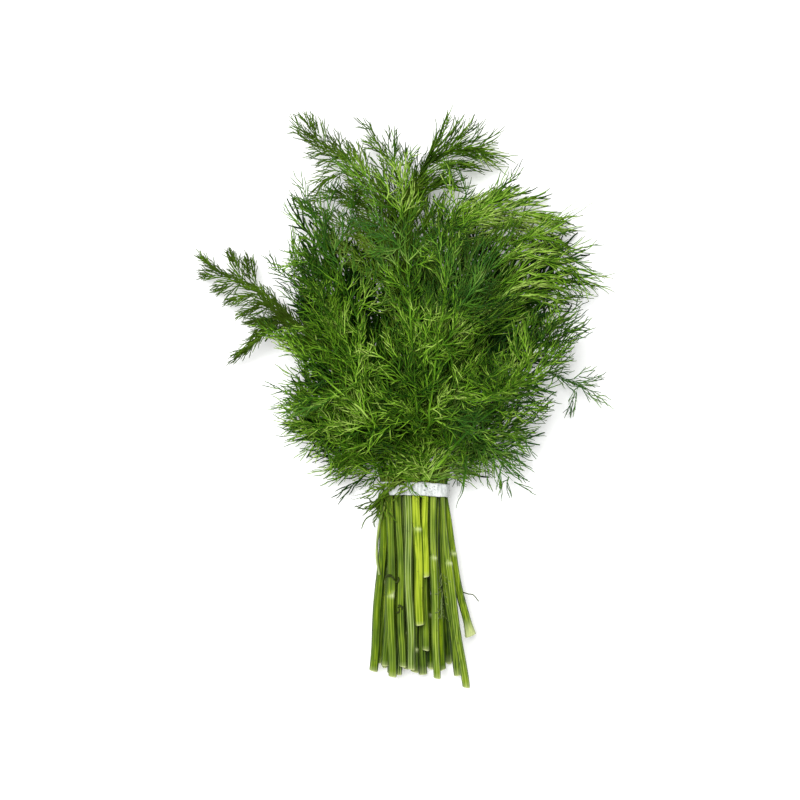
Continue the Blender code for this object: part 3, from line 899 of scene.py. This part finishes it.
def stalkRings(name):
    # the centres and radii of a CAD stalk's rings, from its cut end up
    points = nodePoints(name)
    points = points[np.argsort(points[:, 1])]
    rings = np.split(points, np.where(np.diff(points[:, 1]) > 0.0012)[0] + 1)
    centres = np.array([ring.mean(axis=0) for ring in rings])
    radii = np.array([np.linalg.norm(ring - ring.mean(axis=0), axis=1).mean() for ring in rings])
    return centres, radii


def paleness(past):
    # how pale a stalk is at a distance past its joint
    return np.exp(-(np.where(past > 0, past / 0.0008, past / 0.0013) ** 2))


def plainLine(line, radius, pale):
    # one without a cut end; where pale is below 0 it is how dry the line is
    return line, np.full(len(line), radius), np.zeros(len(line)), np.full(len(line), pale)


def stalkPaths(name, number, pick):
    # the stalk, and the thin branch that leaves its joint if it has one
    look = stalkLook
    centres, radii = stalkRings(name)
    path = smoothPath(centres, look["steps"])
    gone = path[:, 1] - path[0, 1]
    ramp = look["wobble"] * np.clip(np.minimum(gone, path[-1, 1] - path[:, 1]) / 0.02, 0, 1)
    phase = pick.uniform(0, 6.28, 2)
    path[:, 0] += ramp * np.sin(gone * look["waves"][0] + phase[0])
    path[:, 2] += ramp * 0.6 * np.sin(gone * look["waves"][1] + phase[1])
    # those on the right run straight down before they splay
    aside = np.clip((path[:, 0] - tieCentre[0]) / 0.014, 0, 1)
    share = np.clip((path[:, 1] - look["waistFrom"]) / look["waistOver"], 0, 1)
    path[:, 0] -= look["waist"] * aside * np.sin(math.pi * share) ** 2
    if number < 11:  # those hidden below end unevenly
        path[0] += (path[0] - path[1]) * pick.uniform(0.1, 0.7)
    near = np.array([0.0, 0.00035, 0.0009])
    start = path[0] + near[:, None] * (path[2] - path[0]) / np.linalg.norm(path[2] - path[0])
    path = np.vstack([start, path[path[:, 1] > path[0, 1] + 0.0018]])
    swollen = [i for i in range(1, len(radii) - 1) if radii[i] > 1.1 * max(radii[i - 1], radii[i + 1])]
    if swollen:
        place = centres[swollen[0]]
        radii[swollen[0]] = look["swell"] * max(radii[swollen[0] - 1], radii[swollen[0] + 1])
        wanted = np.sort(np.append(path[:, 1], place[1] + np.array(look["jointSteps"]) * 0.0001))
        path = pointsAt(wanted, path[:, 1], path)
    thick = np.interp(path[:, 1], centres[:, 1], radii)
    thick[:3] *= (0.84, 0.96, 1.0)
    cut = np.zeros(len(path))
    cut[:3] = (1.0, 0.8, 0.25)
    if name == look["flared"]:
        share = np.clip(1 - (path[:, 1] - path[0, 1]) / look["flare"][0], 0, 1)
        thick *= 1 + look["flare"][1] * share**1.5
        cut = np.maximum(cut, share**0.8 * 0.9)
    joint = np.zeros(len(path))
    lines = [(path, thick, cut, joint)]
    if swollen:
        above = np.clip((path[:, 1] - place[1]) / 0.0022, 0, 1)
        joint += paleness(path[:, 1] - place[1])
        thick *= 1 - 0.30 * above
        side = math.copysign(1, tieCentre[0] - path[-1][0])
        path[:, 0] -= side * 0.0006 * above
        foot = place + (side * thick[-1] * 0.5, -0.0002, 0.0004)
        top = path[-1] + (side * thick[-1] * 1.9, 0, thick[-1] * 0.4)
        branch = smoothPath([foot, foot * 0.85 + top * 0.15 + (side * 0.0008, 0, 0.0003), top], 20)
        width = np.linspace(thick[-1] * 0.95, thick[-1] * 0.72, 20)
        lines.append(plainLine(branch, width, paleness(branch[:, 1] - place[1])))
    path[:, 2] = np.maximum(path[:, 2], thick * 1.08 + 0.0001)
    if name in look["extra"]:
        points, radius, low, high = look["extra"][name]
        lines.append(plainLine(linePath(points, 24), radius / 1000, np.linspace(low, high, 24)))
    return lines


stalkShapes = [stalkRings(n) for n in nodeNames if n.startswith("stalk_")]


def topOf(x, y):
    # the height of the uppermost CAD stalk at a place
    best = 0.0
    for centres, radii in stalkShapes:
        radius = np.interp(y, centres[:, 1], radii)
        off = x - np.interp(y, centres[:, 1], centres[:, 0])
        if centres[0, 1] < y and abs(off) < radius:
            best = max(best, np.interp(y, centres[:, 1], centres[:, 2]) + math.sqrt(radius**2 - off**2))
    return best


def bitLines():
    # dry remains of side branches, which lie curled on the stalks, and the wisp
    lines = []
    for bit in stalkLook["bits"]:
        x, y, length, radius = (bit[i] / 1000 for i in (0, 1, 3, 5))
        line = shootAt(np.array([x, y, topOf(x, y) + 0.0004]), bit[2], length, bit[4], 0.0012)
        lines.append(plainLine(line, radius, -1.0))
    *sizes, count = stalkLook["wisp"]
    x, y, length, radius = (size / 1000 for size in sizes)
    pick = np.random.default_rng(8)
    for number in range(count + 1):
        heading, long, bend = 180, length, 4
        start = (x, y)
        if number < count:
            heading += (-1) ** number * pick.uniform(20, 50)
            long, bend = pick.uniform(0.0035, 0.0060), pick.uniform(-60, 60)
            start = (x, y - length * number / count)
        line = shootAt(np.array([*start, topOf(*start) + 0.0003]), heading, long, bend, 0.0002)
        line[:, 2] = [max(topOf(*spot[:2]), 0.004) + radius for spot in line]
        lines.append(plainLine(line, radius, 0.2))
    return lines


def stalkMesh(name, lines, values):
    mesh = pathMesh(name, [line[0] for line in lines], 0.0)
    fields = {label: np.full(len(mesh.vertices), value) for label, value in values.items()}
    for number, label in enumerate(("thick", "cut", "joint")):
        fields[label] = np.concatenate([line[number + 1] for line in lines])
    for label, data in fields.items():
        mesh.attributes.new(label, "FLOAT", "POINT").data.foreach_set("value", data)
    return mesh


stalkColours = {
    "stops": [(0.0, (0.012, 0.036, 0.001)), (0.4, (0.085, 0.155, 0.001)), (0.75, (0.215, 0.31, 0.003)),
              (1.0, (0.42, 0.52, 0.02))],
    "grey": (0.34, 0.44, 0.15), "spot": (0.09, 0.10, 0.02), "joint": (0.56, 0.64, 0.30),
    "cut": (0.60, 0.66, 0.30), "dry": (0.030, 0.044, 0.006),
}


def stalkFinish():
    material, tree, shader = shaderMaterial("dillStalks")
    c = stalkColours
    tone, stripe, grey, joint, cut, side = readAll(tree, "tone", "stripe", "grey", "joint", "cut", "side")
    coordinates = tree.make("ShaderNodeTexCoord", out="Object")
    streaks = noiseOf(tree, vectorMath(tree, "MULTIPLY", coordinates, (1500, 40, 1500)), 1.0, 2.0)
    patch = noiseOf(tree, coordinates, 60.0, 2.0)
    spots = noiseOf(tree, coordinates, 420.0, 1.0)
    # painted shade: the stalk's colour is darkened towards its flanks, where its neighbours would shade it
    paintedFlankShade = side.math("ABSOLUTE") ** 3.0
    bright = tone * 0.80 + (patch - 0.5) * 0.7 + (streaks - 0.5) * 1.5 + stripe * 0.13 + 0.13 - paintedFlankShade * 0.30
    colour = tree.make("ShaderNodeValToRGB", {"stops": c["stops"]}, {"Fac": bright}, "Color")
    pale = (grey * (0.35 + stripe * 0.5 + (streaks - 0.5) * 1.5)).math("MAXIMUM", 0.0, clamp=True)
    colour = mixColour(tree, pale, colour, c["grey"])
    colour = mixColour(tree, spots.ramp(0.68, 6.0), colour, c["spot"])
    knob = joint * (0.25 + streaks * 0.6 + side * 0.55)
    colour = mixColour(tree, knob.math("MINIMUM", 0.85, clamp=True), colour, c["joint"])
    colour = mixColour(tree, cut * (0.55 + streaks * 0.7), colour, c["cut"])
    colour = mixColour(tree, (joint * -1).math("MINIMUM", 1.0, clamp=True), colour, c["dry"])
    bump = tree.make("ShaderNodeBump", {}, {"Height": streaks, "Distance": 0.0004, "Strength": 0.6}, "Normal")
    tree.feed(shader, {"Base Color": colour, "Specular IOR Level": 0.15, "Roughness": 0.42 + streaks * 0.2,
                       "Normal": bump})
    return material


stalkGreen = stalkFinish()
stalks = stalkTree()
stalkTotal = 0
for number, name in enumerate(n for n in nodeNames if n.startswith("stalk_")):
    pick = np.random.default_rng(number + 40)
    # painted shade: a stalk's tone rises with its number, so the lower stalks beneath are coloured darker
    values = {"tone": stalkLook["tones"].get(name, pick.uniform(0.0, 0.28) + number * 0.012),
              "grey": stalkLook["greys"].get(name, pick.uniform(0.0, 0.25)), "slant": pick.uniform(-1, 1)}
    lines = stalkPaths(name, number, pick) + (bitLines() if name == "stalk_14" else [])
    piece = bakeTree("dill_" + name, stalkMesh(name + "Path", lines, values), stalks,
                     {"Sides": stalkLook["sides"], "Ridges": stalkLook["ridges"], "Depth": stalkLook["depth"],
                      "Finish": stalkGreen})
    stalkTotal += standFor(piece, name)
print("stalks", stalkTotal, "triangles")

# The tie: a wrinkled white band drawn tight round the stalks

bandLook = {
    "around": 260, "across": 12, "wall": 0.0007, "wrinkle": 0.00030, "wave": 0.0004, "inset": 0.0001,
    # wrinkles to the metre; how far the right end lies lower, from where, over what width
    "noise": 160, "dip": (0.0012, 0.012, 0.014),
    # the two greys after white are painted shade: one in the creases, one in cloudy patches; the specks are
    # the band's own
    "white": (0.74, 0.76, 0.75), "paintedCreaseShade": (0.47, 0.50, 0.49), "paintedShadePatch": (0.46, 0.50, 0.47),
    "speck": (0.07, 0.09, 0.08), "speckPlace": (0.0155, -0.0475, 0),
}


def bandMesh():
    look = bandLook
    points = nodePoints("tie_band")
    middle, half = tieCentre[1], (points[:, 1].max() - points[:, 1].min()) / 2
    flat = [Vector((x, z)) for x, z in points[:, (0, 2)]]
    corners = [flat[i] for i in geometry.convex_hull_2d(flat)]
    loop = np.array([(c.x, 0, c.y) for c in corners + corners[:1]])
    ring = evenly(loop, look["around"], closed=True)
    smoothed = sum(np.roll(ring, shift, axis=0) for shift in range(-3, 4)) / 7
    tangent = np.roll(smoothed, -1, axis=0) - np.roll(smoothed, 1, axis=0)
    normal = np.column_stack([tangent[:, 2], np.zeros(len(ring)), -tangent[:, 0]])
    normal /= np.linalg.norm(normal, axis=1)[:, None]
    if ((smoothed - smoothed.mean(axis=0)) * normal).sum() < 0:
        normal = -normal
    vertices = []
    rows = look["across"] + 1
    dip, dipFrom, dipOver = look["dip"]
    for side in (1, -1):
        for i in range(len(ring)):
            for row in range(rows):
                v = row / look["across"] * 2 - 1
                spot = Vector(tuple(ring[i] * look["noise"])) + Vector((0, v * 0.8 + 7, 0))
                fold = noise.noise(Vector((spot.x * 2.2 + v * 0.5, v * 0.7, spot.z * 2.2)))
                fine = noise.noise(Vector((spot.x * 6.0, v * 2.0, spot.z * 6.0)))
                edge = noise.noise(spot * 1.6) * look["wave"] * abs(v) ** 3
                out = look["wrinkle"] * (fold + 0.5 * fine) * (1 - 0.3 * abs(v))
                out -= look["inset"] if side > 0 else look["inset"] + look["wall"]
                place = ring[i] + normal[i] * out
                edge *= 1 if v > 0 else -1
                low = dip * min(max((place[0] - dipFrom) / dipOver, 0.0), 1.0)
                vertices.append((place[0], middle + half * v + edge - low, place[2]))
    count = len(ring)
    faces = []
    for i in range(count):
        j = (i + 1) % count
        for row in range(rows - 1):
            a, b, c, d = i * rows + row, j * rows + row, j * rows + row + 1, i * rows + row + 1
            faces.append((a, b, c, d))
            shift = count * rows
            faces.append((d + shift, c + shift, b + shift, a + shift))
        for row in (0, rows - 1):
            a, b = i * rows + row, j * rows + row
            c, d = b + count * rows, a + count * rows
            faces.append((d, c, b, a) if row == 0 else (a, b, c, d))
    mesh = bpy.data.meshes.new("tieBand")
    mesh.from_pydata(vertices, [], faces)
    mesh.update()
    outer = list(mesh.polygons)[:40:2]
    if sum(f.normal.dot(f.center - Vector(tuple(tieCentre))) * f.area for f in outer) < 0:
        mesh.flip_normals()
    mesh.shade_smooth()
    return mesh


def bandFinish():
    look = bandLook
    material, tree, shader = shaderMaterial("whiteBand")
    coordinates = tree.make("ShaderNodeTexCoord", out="Object")
    creases = noiseOf(tree, vectorMath(tree, "MULTIPLY", coordinates, (420, 90, 420)), 2.2, 3.0)
    paintedShadeNoise = noiseOf(tree, coordinates, 420.0, 3.0)
    specks = noiseOf(tree, coordinates, 1100.0, 1.0)
    # most of the specks lie round one place on top
    level = vectorMath(tree, "MULTIPLY", coordinates, (1, 1, 0))
    away = vectorMath(tree, "DISTANCE", level, look["speckPlace"], "Value")
    where = (1 - away * 130.0).math("MAXIMUM", 0.06, clamp=True)
    # painted shade: the colour darkens to grey in the creases, where the bump sinks
    colour = mixColour(tree, creases.ramp(0.36, 3.4), look["paintedCreaseShade"], look["white"])
    # painted shade: grey patches over the white
    colour = mixColour(tree, paintedShadeNoise.ramp(0.54, 3.0, 0.7), colour, look["paintedShadePatch"])
    dark = (specks - 0.57) * 10.0 * where
    colour = mixColour(tree, dark.math("MAXIMUM", 0.0, clamp=True), colour, look["speck"])
    bump = tree.make("ShaderNodeBump", {}, {"Height": creases, "Distance": 0.0005, "Strength": 0.7}, "Normal")
    tree.feed(shader, {"Base Color": colour, "Roughness": 0.45, "Normal": bump})
    return material


band = bandMesh()
band.materials.append(bandFinish())
print("band", standFor(addObject("white_band", band), "tie_band"), "triangles")

# Stage, light and camera

def emitter(name, size, place, power):
    light = bpy.data.lights.new(name, "AREA")
    light.shape = "SQUARE"
    light.size = size
    light.energy = power
    made = addObject(name, light)
    made.location = place
    made.rotation_euler = Vector(place).to_track_quat("Z", "Y").to_euler()


floorMesh = bpy.data.meshes.new("floor")
floorMesh.from_pydata([(-4, -4, 0), (4, -4, 0), (4, 4, 0), (-4, 4, 0)], [], [(0, 1, 2, 3)])
paper, paperTree, paperShader = shaderMaterial("paleFloor")
paperTree.feed(paperShader, {"Base Color": (0.85, 0.85, 0.85, 1), "Roughness": 0.9,
                             "Emission Color": (1, 1, 1, 1), "Emission Strength": 0.25})
floorMesh.materials.append(paper)
addObject("floor", floorMesh)

world = bpy.data.worlds.new("studio")
bpy.context.scene.world = world
world.use_nodes = True
background = world.node_tree.nodes["Background"]
Tree(world.node_tree).feed(background, {"Color": (1, 1, 1, 1), "Strength": 0.5})
emitter("soft", 1.2, (-0.4, 0.5, 2.2), 60)

camera = addObject("camera", bpy.data.cameras.new("camera"))
camera.data.lens = 100
camera.data.sensor_width = 36
camera.location = (0, 0, 1.244)
camera.data.clip_end = 20
bpy.context.scene.camera = camera
bpy.context.scene.view_settings.view_transform = "Standard"
